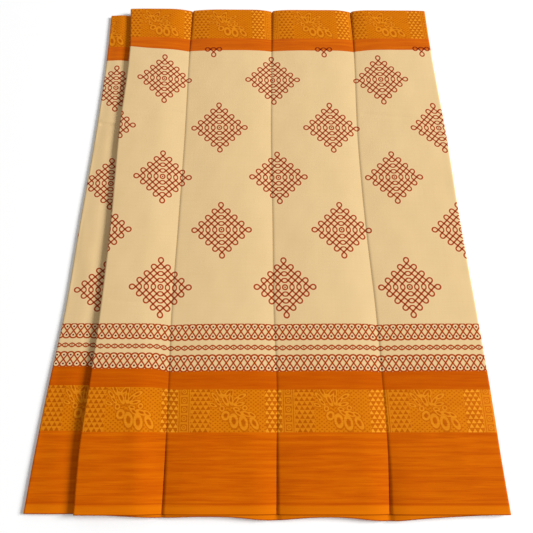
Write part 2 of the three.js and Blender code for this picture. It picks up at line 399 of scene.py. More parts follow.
@dataclass(frozen=True)
class KolamPrint:
    """Cream cotton printed with a knot of one looped line round a diamond of dots.

    Attributes:
        lean: how far a column moves left for each metre along it.
        column: distance between two columns of knots.
        row: distance between two rows of knots.
        u0: U of the first knot's middle.
        v0: V of the first knot's middle.
        pitch_u: distance between two dots across.
        pitch_v: distance between two dots along.
        reach: dots from the middle that the line goes round.
        line: half the width of the line, in dots.
        soft: half the width over which its edge fades, in dots.
        rim: how far the paler rim reaches past it, in dots.
        ring: radius of the ring at the middle, in dots.
        eye: how far from the middle the ring takes the line's place, in dots.
        eye_bend: power of the curve of the two loops beside the middle.
        tip: dots from the middle at which the four tips begin.
        tip_stretch: length of a plain loop for each 1 of a tip's.
        slacks: where the rows lie farther on: fully so, not at all, and how far.
        near_gap: V below which only the near half of a knot is printed.
        far_gap: V above which only the near tip of a knot is printed.
        far_tip: where that tip ends, in dots.
        near: V at which the print begins.
        far: V at which it ends.
    """

    lean: float = 0.046
    column: float = 0.123
    row: float = 0.12170
    u0: float = 0.0305
    v0: float = 0.104
    pitch_u: float = 0.01380
    pitch_v: float = 0.01392
    reach: float = 4.1
    line: float = 0.162
    soft: float = 0.022
    rim: float = 0.28
    ring: float = 0.35
    eye: float = 0.55
    eye_bend: float = 1.4
    tip: float = 3.6
    tip_stretch: float = 0.94
    slacks: tuple[tuple[float, float, float], ...] = ((0.340, 0.240, 0.0048), (0.460, 0.370, 0.0060))
    near_gap: float = -0.150
    far_gap: float = 0.4265
    far_tip: float = -2.58
    near: float = -0.2070
    far: float = 0.4560

    def motif(self, finish: Finish) -> tuple[Value, Value]:
        """Place within the nearest motif, in dots from its middle.

        Args:
            finish: the finish that it belongs to.

        Returns:
            How far the place is across and along.
        """
        v = finish.v
        for full, none, slack in self.slacks:
            v = v - finish.v.fade(full, none) * slack
        x = (finish.u + finish.v * self.lean - self.u0).wrapped(self.column)
        y = (v - self.v0).wrapped(self.row)
        other = (abs(x) / self.column + abs(y) / self.row).above(1.0)
        x = x - other * x.math("SIGN") * self.column
        y = y - other * y.math("SIGN") * self.row
        return self.stretched(x / self.pitch_u), self.stretched(y / self.pitch_v)

    def stretched(self, place: Value) -> Value:
        """Draws the four tips out into drops."""
        past = (abs(place) - self.tip).high(0.0) * (1.0 - self.tip_stretch)
        return place - past * place.math("SIGN")

    def draw(self, finish: Finish) -> tuple[Value, Value, Value]:
        """Draws the line of the knot.

        Args:
            finish: the finish that it belongs to.

        Returns:
            The ink of the line, that of the dot in the middle, and the pale rim round them.
        """
        x, y = self.motif(finish)
        a = x + y
        b = x - y
        ia = a.math("FLOOR")
        ib = b.math("FLOOR")
        fa = a - ia - 0.5
        odd = abs(((ia + ib) * 0.5).math("FRACT")) * 2.0
        turn_over = odd * -2.0 + 1.0
        fb = (b - ib - 0.5) * turn_over
        middle_a = ia + 0.5
        middle_b = ib + 0.5
        axis = abs(middle_a + middle_b) * 0.5
        other_axis = abs(middle_a - middle_b) * 0.5
        open_tile = axis.low(other_axis).below(0.1) * axis.high(other_axis).below(2.6)
        bend = open_tile * (self.eye_bend - 2.0) + 2.0
        within = []
        arcs = []
        for corner in (0.5, -0.5):
            dot_a = ia + (0.5 + corner)
            dot_b = ib + 0.5 + turn_over * corner
            inside = abs(dot_a).high(abs(dot_b)).below(self.reach)
            powers = abs(fa - corner).math("POWER", bend) + abs(fb - corner).math("POWER", bend)
            distance = powers.math("POWER", bend.math("POWER", -1.0))
            arcs.append(abs(distance - 0.5) + inside.rest() * FAR_AWAY)
            within.append(inside)
        crossing = within[0] * within[1] * open_tile.rest()
        strand = abs(fa).low(abs(fb))
        distance = crossing.chosen(arcs[0].low(arcs[1]), strand)
        centre = x.distance(y)
        distance = centre.below(self.eye).chosen(distance, abs(centre - self.ring) * math.sqrt(2.0))
        ink = distance.fade(self.line - self.soft, self.line + self.soft)
        knot = abs(fa).high(abs(fb)).fade(0.08, 0.26) * crossing * 0.75
        dot = centre.fade(0.07, 0.15).high(knot)
        rim = distance.fade(self.line, self.line + self.rim)
        near_cut = y.above(0.0) * finish.v.below(self.near_gap)
        far_cut = y.above(self.far_tip) * finish.v.above(self.far_gap)
        whole = (near_cut + far_cut).low(1.0).rest()
        return ink * whole, dot * whole, rim * whole

    def make(self) -> bpy.types.Material:
        """Makes the printed cotton, with the plain orange strip at its far edge.

        Returns:
            The material.
        """
        finish = Finish("kolam_print", Dye.CREAM_BLUSH)
        ink, dot, rim = self.draw(finish)
        shown = finish.v.above(self.near) * finish.v.below(self.far)
        strip = finish.v.above(CREAM_FAR)
        uneven = finish.noise(700.0, 700.0, 9.0, 1.0).fade(0.75, 0.30) * 0.08
        cloth = finish.laid(cream_ground(finish), Dye.CREAM_BLUSH, rim * shown * 0.34)
        cloth = finish.laid(cloth, orange_ground(finish), strip)
        cloth = finish.laid(cloth, Dye.RUST, ink * shown * uneven.rest())
        cloth = finish.laid(cloth, Dye.RUST_DEEP, (dot + ink * strip * 0.6).low(1.0) * shown)
        finish.weave()
        return finish.wear(cloth, 0.85)


@dataclass(frozen=True)
class BorderPrint:
    """Cream cotton with the printed rows beside the border: two lattices and a chain.

    Attributes:
        pitch: width of a lattice cell and of a link.
        phase: U at which two lines of a lattice cross.
        upper: V of the middle of the far lattice.
        chain: V of the middle of the chain.
        lower: V of the middle of the near lattice.
        joint: distance from a lattice's middle to where its arches meet.
        crown: distance from its middle to the tops of its arches.
        dot_at: distance from its middle to its dots.
        dot_size: radius of a dot.
        line: half the width of a line.
        soft: half the width over which its edge fades.
        swing: half the height of the chain.
    """

    pitch: float = 0.0133
    phase: float = 0.0045
    upper: float = -0.2285
    chain: float = -0.2588
    lower: float = -0.2882
    joint: float = 0.0096
    crown: float = 0.0152
    dot_at: float = 0.0090
    dot_size: float = 0.0020
    line: float = 0.00140
    soft: float = 0.0004
    swing: float = 0.0037

    def lattice(self, finish: Finish, middle: float) -> tuple[Value, Value, Value]:
        """One lattice row.

        Args:
            finish: the finish that it belongs to.
            middle: distance of its middle.

        Returns:
            The ink of its lines, that of its dots, and the paler cells round the dots.
        """
        half = self.pitch / 2.0
        x = abs((finish.u - self.phase).wrapped(half))
        y = abs(finish.v - middle)
        steep = self.joint / half
        strand = abs(y - x * steep) * (1.0 / math.hypot(1.0, steep)) + y.above(self.joint) * FAR_AWAY
        bow = self.crown - self.joint
        arch = abs((x / half).distance((y - self.joint) / bow) - 1.0) * (bow * 0.95)
        arch = arch + y.below(self.joint) * FAR_AWAY
        away = x.distance(y - self.dot_at)
        ink = strand.low(arch).fade(self.line - self.soft, self.line + self.soft)
        dot = away.fade(self.dot_size - self.soft, self.dot_size + self.soft)
        cell = away.fade(0.0030, 0.0052) * y.below(self.crown)
        return ink, dot, cell

    def links(self, finish: Finish) -> tuple[Value, Value]:
        """The chain between the lattices.

        Args:
            finish: the finish that it belongs to.

        Returns:
            The ink of its links, and that of its dots.
        """
        half = self.pitch / 2.0
        x = (finish.u - self.phase).wrapped(half)
        y = abs(finish.v - self.chain)
        strand = abs(y - (x * (math.pi / self.pitch)).math("COSINE") * self.swing) * 0.86
        return strand.fade(0.0009, 0.0017), x.distance(y).fade(0.0008, 0.0018)

    def make(self) -> bpy.types.Material:
        """Makes the printed cotton.

        Returns:
            The material.
        """
        finish = Finish("border_print", Dye.CREAM_BLUSH)
        colour = cream_ground(finish)
        ink, link_dot = self.links(finish)
        dots = link_dot * 0.8
        for middle in (self.upper, self.lower):
            row_ink, row_dot, cell = self.lattice(finish, middle)
            colour = finish.laid(colour, Dye.CREAM_BLUSH, cell * 0.40)
            ink = ink.high(row_ink)
            dots = dots.high(row_dot)
        colour = finish.laid(colour, Dye.RUST, ink)
        colour = finish.laid(colour, Dye.RUST_DEEP, dots)
        finish.weave()
        return finish.wear(colour, 0.85)


@dataclass(frozen=True)
class Petal:
    """A leaf, petal or drop of the woven spray, measured from the spray's heart."""

    x: float
    y: float
    degrees: float
    length: float
    width: float


SPRAY = (
    Petal(-0.0199, 0.0304, 118.0, 0.0220, 0.0064),
    Petal(-0.0262, 0.0210, 132.0, 0.0170, 0.0058),
    Petal(-0.0015, 0.0283, 45.0, 0.0220, 0.0066),
    Petal(-0.0075, 0.0150, 118.0, 0.0220, 0.0076),
    Petal(0.0030, 0.0160, 92.0, 0.0190, 0.0060),
    Petal(-0.0206, 0.0113, 132.0, 0.0150, 0.0050),
    Petal(0.0110, 0.0135, 50.0, 0.0190, 0.0062),
    Petal(0.0220, 0.0215, 25.0, 0.0170, 0.0066),
    Petal(0.0185, 0.0075, 12.0, 0.0180, 0.0056),
    Petal(0.0285, 0.0010, 0.0, 0.0090, 0.0076),
    Petal(-0.0135, 0.0000, 175.0, 0.0090, 0.0086),
    Petal(-0.0070, -0.0125, -112.0, 0.0150, 0.0120),
    Petal(0.0080, -0.0215, -80.0, 0.0230, 0.0130),
    Petal(0.0170, -0.0080, -35.0, 0.0170, 0.0060),
    Petal(0.0255, -0.0250, -78.0, 0.0240, 0.0128),
    Petal(0.0305, -0.0095, -22.0, 0.0190, 0.0068),
    Petal(0.0450, -0.0255, -58.0, 0.0220, 0.0100),
    Petal(0.0040, 0.0275, 84.0, 0.0180, 0.0060),
    Petal(-0.0300, 0.0060, 160.0, 0.0140, 0.0050),
    Petal(0.0130, -0.0010, -8.0, 0.0120, 0.0052),
    Petal(0.0410, -0.0110, -30.0, 0.0150, 0.0060),
)


@dataclass(frozen=True)
class ZariWeave:
    """Border woven with metal thread: frames, triangles, dotted ground and a spray, repeated.

    Attributes:
        repeat: length of the whole pattern.
        lean: how far it moves left for each metre along.
        frame_u: U of the first column of frames.
        row_v: V at which that U holds.
        frame_half: half the width of the column of frames.
        frame_row: half the height of one frame and its gap.
        triangle_start: where the triangles begin, from the middle of the frames.
        triangle_end: where they end.
        triangle_pitch: width of a triangle.
        triangle_row: height of a triangle.
        heart_u: U of the spray's heart, from the middle of the frames.
        heart_v: height of the spray's heart in the band.
        dot_u: length of two dots of the ground.
        dot_v: height of two dots of the ground.
    """

    repeat: float = 0.191
    lean: float = 0.0238
    frame_u: float = 0.0408
    row_v: float = -0.375
    frame_half: float = 0.0122
    frame_row: float = 0.008
    triangle_start: float = -0.0420
    triangle_end: float = 0.0470
    triangle_pitch: float = 0.0099
    triangle_row: float = 0.00785
    heart_u: float = 0.0828
    heart_v: float = 0.0415
    dot_u: float = 0.0086
    dot_v: float = 0.0068

    def local(self, finish: Finish) -> tuple[Value, Value]:
        """Where a place is in the pattern.

        Args:
            finish: the finish that it belongs to.

        Returns:
            Its place from the middle of the nearest frame, and its height in the band.
        """
        u = finish.u + (finish.v - self.row_v) * self.lean - self.frame_u
        top = finish.v.above(0.0)
        height = finish.v - ZARI_NEAR - top * (TOP_ZARI - ZARI_NEAR)
        return u.wrapped(self.repeat / 2.0), height

    def triangles(self, u: Value, height: Value) -> Value:
        """Rows of triangles with their tips up, each row half a step along.

        Args:
            u: place from the middle of the frames.
            height: height in the band.

        Returns:
            1 in a triangle.
        """
        row = height / self.triangle_row
        level = row.math("FLOOR")
        half = self.triangle_pitch / 2.0
        shift = (level * 0.5).math("FRACT") * self.triangle_pitch
        x = abs((u + shift).wrapped(half)) / half
        return (x + (row - level) * 1.05).fade(0.78, 1.0)

    def frames(self, u: Value, height: Value) -> Value:
        """A column of square frames, each with a round flower.

        Args:
            u: place from the middle of the frames.
            height: height in the band.

        Returns:
            1 on the lines of the frames and the flowers.
        """
        x = abs(u)
        y = (height - self.frame_row).wrapped(self.frame_row)
        upright = abs(x - 0.0108).fade(0.0006, 0.0016)
        square = abs(x.high(abs(y)) - 0.0070).fade(0.0005, 0.0014)
        away = x.distance(y)
        ring = abs(away - 0.0036).fade(0.0006, 0.0015)
        return upright.high(square).high(ring).high(away.fade(0.0008, 0.0016))

    def grain(self, finish: Finish, height: Value) -> Value:
        """The dotted ground.

        Args:
            finish: the finish that it belongs to.
            height: height in the band.

        Returns:
            1 on its dots.
        """
        across = (finish.u * (2.0 * math.pi / self.dot_u)).math("SINE")
        along = (height * (2.0 * math.pi / self.dot_v)).math("SINE")
        return (across * along).fade(0.70, 0.05)

    def spray(self, finish: Finish, u: Value, height: Value) -> tuple[Value, Value]:
        """The spray of flowers.

        Args:
            finish: the finish that it belongs to.
            u: place from the middle of the frames.
            height: height in the band.

        Returns:
            The dark hearts and outlines of its petals, and their pale rims.
        """
        heart = u + (u.below(0.0) * self.repeat - self.heart_u)
        place = finish.spot(heart, height - self.heart_v)
        nearest: Value | None = None
        for petal in SPRAY:
            node = finish.tree.nodes.new("ShaderNodeMapping")
            node.vector_type = "TEXTURE"
            node.inputs["Location"].default_value = (petal.x, petal.y, 0.0)
            node.inputs["Rotation"].default_value = (0.0, 0.0, math.radians(petal.degrees))
            node.inputs["Scale"].default_value = (petal.length * 0.56, petal.width * 0.62, 1.0)
            finish.tree.links.new(place, node.inputs["Vector"])
            measure = finish.tree.nodes.new("ShaderNodeVectorMath")
            measure.operation = "LENGTH"
            finish.tree.links.new(node.outputs[0], measure.inputs[0])
            away = Value(finish.tree, measure.outputs["Value"])
            nearest = away if nearest is None else nearest.low(away)
        dark = nearest.fade(0.34, 0.52).high(abs(nearest - 1.15).fade(0.06, 0.18) * 0.75)
        return dark, abs(nearest - 0.78).fade(0.17, 0.30)

    def make(self) -> bpy.types.Material:
        """Weaves the border, with the triangles left of each frame painted pale as painted glint and those
        right of it painted dark as painted shade.

        Returns:
            The material.
        """
        finish = Finish("zari_weave", Dye.GOLD)
        u, height = self.local(finish)
        in_frame = abs(u).below(self.frame_half)
        in_zone = u.above(self.triangle_start) * u.below(self.triangle_end)
        in_triangles = in_zone - in_frame
        in_ground = in_zone.rest()
        dark, rim = self.spray(finish, u, height)
        grain = self.grain(finish, height) * in_ground * dark.high(rim).rest()
        lines = self.frames(u, height)
        shapes = self.triangles(u, height)
        # Painted glint and shade: left of each frame, at the right part of a pleat, the triangles are painted
        # pale as if their metal thread caught the light; right of it they are painted dark as if in shade.
        glint_side = u.below(0.0)
        shapes = shapes + glint_side * (shapes * -2.0 + 1.0)
        figure = (lines * -0.55 + 0.55) * in_frame + shapes * in_triangles * (glint_side * -0.12 + 0.70)
        figure = figure + dark * in_ground * 0.68
        thread = finish.noise(60.0, 900.0, 4.4, 2.0).fade(0.70, 0.35) * 0.30
        # Painted glint on the triangles left of each frame, added to the pale rims of the spray and the pale
        # lines of the frames.
        pale = in_triangles * shapes.rest() * (glint_side * 0.65 + 0.20)
        pale = pale + rim * in_ground * 0.38 + lines * in_frame * 0.22
        colour = finish.laid(finish.colour(Dye.GOLD), Dye.GOLD_PALE, pale.low(1.0))
        colour = finish.laid(colour, Dye.GOLD_DEEP, (figure * 0.95 + grain * 0.60 + thread).low(0.95))
        shine = figure * 0.25 + grain * 0.10 + 0.05
        finish.tree.links.new(shine.socket, finish.shader.inputs["Metallic"])
        finish.weave(figure * 1.2)
        return finish.wear(colour, 0.55)


@dataclass(frozen=True)
class PlainBorder:
    """The wide plain border with its selvedge, and the plain strip beyond the metal thread.

    Attributes:
        selvedge: width of the paler strip at the edge.
        soft: half the width over which it fades.
        seam: distance of the dark line beside it.
        rim: width of the painted shade along the very edge.
    """

    selvedge: float = 0.0145
    soft: float = 0.0020
    seam: float = 0.0178
    rim: float = 0.0020

    def make(self) -> bpy.types.Material:
        """Dyes the border.

        Returns:
            The material.
        """
        finish = Finish("plain_border", Dye.ORANGE)
        edge = finish.v - NEAR
        strip = edge.fade(self.selvedge - self.soft, self.selvedge + self.soft)
        line = abs(edge - self.seam).fade(0.0006, 0.0018)
        colour = finish.laid(orange_ground(finish), Dye.ORANGE_PALE, strip * 0.65)
        colour = finish.laid(colour, Dye.ORANGE_DEEP, line * 0.70)
        colour = finish.laid(colour, Dye.ORANGE_DEEP, finish.v.above(ZARI_FAR) * 0.42)
        # Painted shade: the very edge of the cloth is darkened as if its cut edge fell into shade.
        colour = finish.laid(colour, Dye.RUST_DEEP, edge.fade(0.0008, self.rim) * 0.60)
        finish.weave()
        return finish.wear(colour, 0.80)


class Cloth(Enum):
    """The finishes of the cloth, each by its place in a piece."""

    KOLAM = 0
    PRINT = 1
    ZARI = 2
    PLAIN = 3


class Line(Enum):
    """The fold lines, each by its field of Station."""

    UNDER = "under"
    FRONT = "front"
    CREASE_1 = "crease_1"
    CREASE_2 = "crease_2"
    CREASE_3 = "crease_3"
    RIGHT = "right"


@dataclass(frozen=True)
class Station:
    """X of every fold line at one distance from the near selvedge."""

    y: float
    under: float
    front: float
    crease_1: float
    crease_2: float
    crease_3: float
    right: float


STATIONS = (
    Station(-0.547, -0.4245, -0.3340, -0.1830, 0.0170, 0.2135, 0.4245),
    Station(-0.450, -0.4190, -0.3360, -0.1820, 0.0180, 0.2175, 0.4200),
    Station(-0.330, -0.4100, -0.3300, -0.1830, 0.0190, 0.2160, 0.4165),
    Station(-0.200, -0.3980, -0.3250, -0.1855, 0.0140, 0.2130, 0.4110),
    Station(0.010, -0.3885, -0.3220, -0.1825, 0.0120, 0.2030, 0.4010),
    Station(0.190, -0.3795, -0.3245, -0.1800, 0.0095, 0.1990, 0.3960),
    Station(0.450, -0.3735, -0.3200, -0.1800, 0.0115, 0.2030, 0.3840),
    Station(0.557, -0.3750, -0.3275, -0.1790, 0.0120, 0.2015, 0.3820),
)


@dataclass(frozen=True)
class Crease:
    """A pressed fold of the face.

    Attributes:
        line: the fold line that it follows.
        end_floor: its lowest height at the ends.
        middle_floor: its lowest height in the middle.
        steep_end: width of its steep side at the ends.
        dip: how far the rows of the weave are drawn nearer at it.
    """

    line: Line
    end_floor: float
    middle_floor: float
    steep_end: float
    dip: float


CREASES = (
    Crease(Line.CREASE_1, 0.0080, 0.0132, 0.078, 0.0027),
    Crease(Line.CREASE_2, 0.0082, 0.0136, 0.056, 0.0012),
    Crease(Line.CREASE_3, 0.0078, 0.0134, 0.044, 0.0020),
)


@dataclass(frozen=True)
class SoftFold:
    """A soft trough or ridge from one place to another. rise is negative in a trough."""

    x0: float
    y0: float
    x1: float
    y1: float
    rise: float
    reach: float

    def lift(self, x: np.ndarray, y: np.ndarray) -> np.ndarray:
        """Height that the fold adds.

        Args:
            x: places across the pleats.
            y: places along them.

        Returns:
            The rise at each place, easing out at the fold's ends.
        """
        along = np.array((self.x1 - self.x0, self.y1 - self.y0))
        length = float(np.hypot(*along))
        along = along / length
        run = (x - self.x0) * along[0] + (y - self.y0) * along[1]
        off = (x - self.x0) * -along[1] + (y - self.y0) * along[0]
        share = np.clip(run / length, 0.0, 1.0)
        past = run - share * length
        bow = 1.0 - 0.35 * (2.0 * share - 1.0) ** 2
        distance = (off ** 2 + past ** 2) / self.reach ** 2
        return self.rise * bow * np.exp(-distance)


# Cross creases where the stack was once folded in half, and soft waves between them
FACE_FOLDS = (
    SoftFold(-0.305, 0.262, -0.190, 0.268, -0.00055, 0.0030),
    SoftFold(0.215, 0.262, 0.330, 0.250, -0.00065, 0.0034),
    SoftFold(0.020, 0.258, 0.110, 0.252, -0.00035, 0.0040),
    SoftFold(-0.305, -0.166, -0.235, -0.172, -0.00060, 0.0030),
    SoftFold(-0.150, -0.160, -0.030, -0.176, -0.00035, 0.0120),
    SoftFold(0.300, -0.120, 0.395, -0.100, -0.00050, 0.0110),
    SoftFold(-0.285, 0.060, -0.225, -0.020, 0.00050, 0.0260),
    SoftFold(-0.110, 0.150, -0.040, 0.020, 0.00045, 0.0300),
    SoftFold(0.060, 0.000, 0.150, -0.110, 0.00050, 0.0300),
    SoftFold(0.110, 0.330, 0.160, 0.180, -0.00045, 0.0260),
    SoftFold(0.300, 0.330, 0.345, 0.150, 0.00060, 0.0280),
    SoftFold(0.275, 0.020, 0.330, -0.060, -0.00050, 0.0240),
    SoftFold(-0.120, 0.400, -0.060, 0.300, -0.00040, 0.0240),
    SoftFold(-0.250, -0.300, -0.215, -0.500, 0.00050, 0.0240),
    SoftFold(-0.090, -0.380, -0.060, -0.520, -0.00045, 0.0220),
    SoftFold(0.110, -0.330, 0.090, -0.520, 0.00045, 0.0260),
    SoftFold(0.330, -0.280, 0.350, -0.500, 0.00060, 0.0240),
    SoftFold(0.385, 0.350, 0.402, -0.100, 0.00050, 0.0110),
)
UNDER_FOLDS = (
    SoftFold(-0.380, 0.2420, -0.318, 0.2400, -0.0016, 0.0026),
    SoftFold(-0.378, 0.2500, -0.318, 0.2480, 0.0008, 0.0050),
    SoftFold(-0.390, 0.000, -0.350, -0.120, 0.0006, 0.0180),
    SoftFold(-0.400, -0.300, -0.370, -0.420, -0.0005, 0.0160),
)


# Where the flat cloth's rows lie on the pleat beneath, which was pulled a little askew
UNDER_PULL = (
    (NEAR, UNDER_NEAR),
    (ZARI_NEAR, -0.4085),
    (ZARI_FAR, -0.3270),
    (PRINT_NEAR, -0.2920),
    (-0.1380, -0.1400),
    (0.1040, 0.0950),
    (0.3520, 0.3380),
    (CREAM_FAR, 0.4140),
    (TOP_ZARI, 0.4533),
    (FAR, UNDER_FAR),
)
UNDER_SHIFT = 0.112
UNDER_NEAR_SHIFT = 0.0297


@dataclass(frozen=True)
class HemWave:
    """A stretch where the hem beneath comes out past the near selvedge."""

    at: float
    reach: float
    spread: float


HEM_WAVES = (
    HemWave(-0.185, 0.0046, 0.070),
    HemWave(-0.080, 0.0018, 0.050),
    HemWave(0.005, 0.0080, 0.055),
    HemWave(0.090, 0.0030, 0.070),
    HemWave(0.210, 0.0098, 0.062),
    HemWave(0.300, 0.0032, 0.060),
)


class FoldLines:
    """The fold lines as smooth curves through their stations."""

    def __init__(self) -> None:
        """Keeps the stations as columns."""
        self.y = np.array([station.y for station in STATIONS])

    def at(self, line: Line, y: np.ndarray) -> np.ndarray:
        """X of a fold line.

        Args:
            line: the fold line.
            y: places along the pleats.

        Returns:
            X of the line at each place.
        """
        knots = self.y
        values = np.array([getattr(station, line.value) for station in STATIONS])
        slopes = np.gradient(values, knots)
        inside = np.clip(y, knots[0], knots[-1])
        k = np.clip(np.searchsorted(knots, inside) - 1, 0, len(knots) - 2)
        run = knots[k + 1] - knots[k]
        t = (inside - knots[k]) / run
        start = (1 + 2 * t) * (1 - t) ** 2 * values[k] + t * (1 - t) ** 2 * run * slopes[k]
        stop = t * t * (3 - 2 * t) * values[k + 1] + t * t * (t - 1) * run * slopes[k + 1]
        return start + stop


LINES = FoldLines()


def smoothstep(value: np.ndarray, low: float, high: float) -> np.ndarray:
    """0 below low, 1 above high and smooth between."""
    share = np.clip((value - low) / (high - low), 0.0, 1.0)
    return share * share * (3.0 - 2.0 * share)


def face_height(x: np.ndarray, y: np.ndarray, rise: np.ndarray | float = 0.0) -> np.ndarray:
    """Height of the face of the stack.

    Args:
        x: places across the pleats.
        y: places along them.
        rise: how much higher than the others this pleat lies.

    Returns:
        The height at each place.
    """
    full = smoothstep(np.minimum(y - NEAR, FAR - y), 0.0, END_RUN)
    plateau = END_HEIGHT + (MIDDLE_HEIGHT - END_HEIGHT) * full + rise
    z = plateau.copy()
    for crease in CREASES:
        across = x - LINES.at(crease.line, y)
        easy = EASY_SIDE[0] + (EASY_SIDE[1] - EASY_SIDE[0]) * full
        steep = crease.steep_end + (STEEP_MIDDLE - crease.steep_end) * full
        deep = plateau - crease.end_floor - (crease.middle_floor - crease.end_floor) * full
        left = deep * np.maximum(0.0, 1.0 + np.minimum(across, 0.0) / easy) ** CREASE_BEND
        step = STEP * (1.0 - 0.45 * full)
        right = (deep - step) * np.clip(1.0 - across / steep, 0.0, 1.0) ** (CREASE_BEND - full)
        right += step * np.clip(1.0 - across / STEP_RUN, 0.0, 1.0) ** 2
        z -= np.where(across < 0, left, right)
        run = 0.0050 - 0.0022 * full
        press = np.where(across < 1e-6, 0.0, np.maximum(0.0, 1.0 - across / run))
        z -= (0.0036 - 0.0030 * full) * press ** 1.5
    inwards = np.minimum(x - LINES.at(Line.FRONT, y), LINES.at(Line.RIGHT, y) - x)
    return z - EDGE_DROP * np.maximum(0.0, 1.0 - inwards / EDGE_RUN) ** 2


def ripple(x: np.ndarray, y: np.ndarray) -> np.ndarray:
    """Small uneven waves that starched cotton keeps.

    Args:
        x: places across the pleats.
        y: places along them.

    Returns:
        Their height at each place.
    """
    waves = (
        (0.00010, 31.0, 74.0, 0.4),
        (0.00009, -57.0, 49.0, 1.9),
        (0.00007, 96.0, 38.0, 3.1),
        (0.00006, 21.0, 131.0, 5.2),
        (0.00004, 148.0, -83.0, 0.9),
    )
    total = np.zeros_like(x)
    for height, across, along, phase in waves:
        bend = 0.9 * np.sin(11.0 * y + 7.0 * x + phase)
        total += height * np.sin(across * x + along * y + phase + bend)
    return total


@dataclass(frozen=True)
class Band:
    """A band of the cloth between two distances, and its finish."""

    near: float
    far: float
    finish: Cloth


BANDS = (
    Band(NEAR, ZARI_NEAR, Cloth.PLAIN),
    Band(ZARI_NEAR, ZARI_FAR, Cloth.ZARI),
    Band(ZARI_FAR, PRINT_NEAR, Cloth.PLAIN),
    Band(PRINT_NEAR, CREAM_NEAR, Cloth.PRINT),
    Band(CREAM_NEAR, CREAM_FAR, Cloth.KOLAM),
    Band(CREAM_FAR, TOP_ZARI, Cloth.KOLAM),
    Band(TOP_ZARI, FAR, Cloth.ZARI),
)


def cloth_rows() -> np.ndarray:
    """Distances of the rows of points on the cloth.

    Returns:
        The distances, with a row on every band's edge.
    """
    rows: list[float] = []
    for band in BANDS:
        count = max(2, round((band.far - band.near) / GRID))
        rows.extend(np.linspace(band.near, band.far, count + 1)[:-1])
    rows.append(FAR)
    return np.array(rows)


def row_finish(rows: np.ndarray) -> np.ndarray:
    """Finish of the faces between each row and the next.

    Args:
        rows: distances of the rows.

    Returns:
        The place of each finish in a piece.
    """
    middles = (rows[:-1] + rows[1:]) / 2.0
    edges = np.array([band.far for band in BANDS[:-1]])
    finishes = np.array([band.finish.value for band in BANDS])
    return finishes[np.searchsorted(edges, middles)]


def columns(steps: int) -> np.ndarray:
    """Shares from 0 to 1, a little closer together at both ends."""
    even = np.linspace(0.0, 1.0, steps + 1)
    return 0.72 * even + 0.28 * (1.0 - np.cos(np.pi * even)) / 2.0


def add_grid(name: str, points: np.ndarray, uv: np.ndarray, finish: np.ndarray,
             capped: bool = False) -> bpy.types.Object:
    """Makes an object from a grid of points, and selects it alone.

    Args:
        name: the object's name.
        points: rows of points, rows along Y and columns along the section, outer side up.
        uv: place of each point on the flat cloth, in metres.
        finish: place in the piece of each row's finish.
        capped: whether one more face closes the section at each end.

    Returns:
        The object.
    """
    rows, count = points.shape[:2]
    index = np.arange(rows * count).reshape(rows, count)
    quads = np.stack((index[:-1, :-1], index[:-1, 1:], index[1:, 1:], index[1:, :-1]), axis=-1)
    faces = quads.reshape(-1, 4).tolist()
    slots = np.repeat(finish, count - 1)
    if capped:
        faces += [index[0, :-1][::-1].tolist(), index[-1, :-1].tolist()]
        slots = np.concatenate((slots, (finish[0], finish[-1])))
    mesh = bpy.data.meshes.new(name)
    mesh.from_pydata(points.reshape(-1, 3).tolist(), [], faces)
    layer = mesh.uv_layers.new(name=UV_NAME)
    layer.data.foreach_set("uv", uv.reshape(-1, 2)[np.concatenate(faces)].reshape(-1))
    mesh.polygons.foreach_set("material_index", slots.astype(np.int32))
    mesh.update()
    piece = bpy.data.objects.new(name, mesh)
    bpy.context.scene.collection.objects.link(piece)
    bpy.ops.object.select_all(action="DESELECT")
    piece.select_set(True)
    bpy.context.view_layer.objects.active = piece
    return piece


def add_sheet(name: str, points: np.ndarray, uv: np.ndarray, finish: np.ndarray) -> bpy.types.Object:
    """Makes one sheet of cloth and gives it its thickness.

    Args:
        name: the piece's name.
        points: rows of points, rows along Y and columns along the section, outer side up.
        uv: place of each point on the flat cloth, in metres.
        finish: place in the piece of each row's finish.

    Returns:
        The piece, with its walls closed.
    """
    piece = add_grid(name, points, uv, finish)
    wall = piece.modifiers.new("Cloth", "SOLIDIFY")
    wall.thickness = CLOTH
    wall.offset = -1.0
    wall.use_even_offset = True
    bpy.ops.object.modifier_apply(modifier=wall.name)
    bpy.ops.object.shade_smooth_by_angle(angle=math.radians(50))
    return piece


def add_closed(name: str, ring: np.ndarray, uv: np.ndarray, finish: np.ndarray) -> bpy.types.Object:
    """Makes a closed body from rings of points whose last column is the first again.

    Args:
        name: the body's name.
        ring: rows of points, rows along Y and columns round the section.
        uv: place of each point on the flat cloth, in metres.
        finish: place in the piece of each row's finish.

    Returns:
        The body, closed by one face at each end.
    """
    body = add_grid(name, ring, uv, finish, capped=True)
    weld = body.modifiers.new("Weld", "WELD")
    weld.merge_threshold = 1e-6
    bpy.ops.object.modifier_apply(modifier=weld.name)
    bpy.ops.object.shade_smooth_by_angle(angle=math.radians(40))
    return body


def slanted(x: np.ndarray, y: np.ndarray) -> np.ndarray:
    """Y of each point once the far selvedge slants.

    Args:
        x: places across the pleats.
        y: places along them.

    Returns:
        The new places along them.
    """
    left = LINES.at(Line.FRONT, y)
    right = LINES.at(Line.RIGHT, y)
    share = np.clip((x - left) / (right - left), 0.0, 1.0)
    return y - FAR_SLANT * share * np.maximum(0.0, y / FAR)


def arc_lengths(section: np.ndarray) -> np.ndarray:
    """Distance along each row of points from its first one."""
    spans = np.hypot(*np.moveaxis(np.diff(section, axis=1), -1, 0))
    return np.concatenate((np.zeros((len(section), 1)), np.cumsum(spans, axis=1)), axis=1)


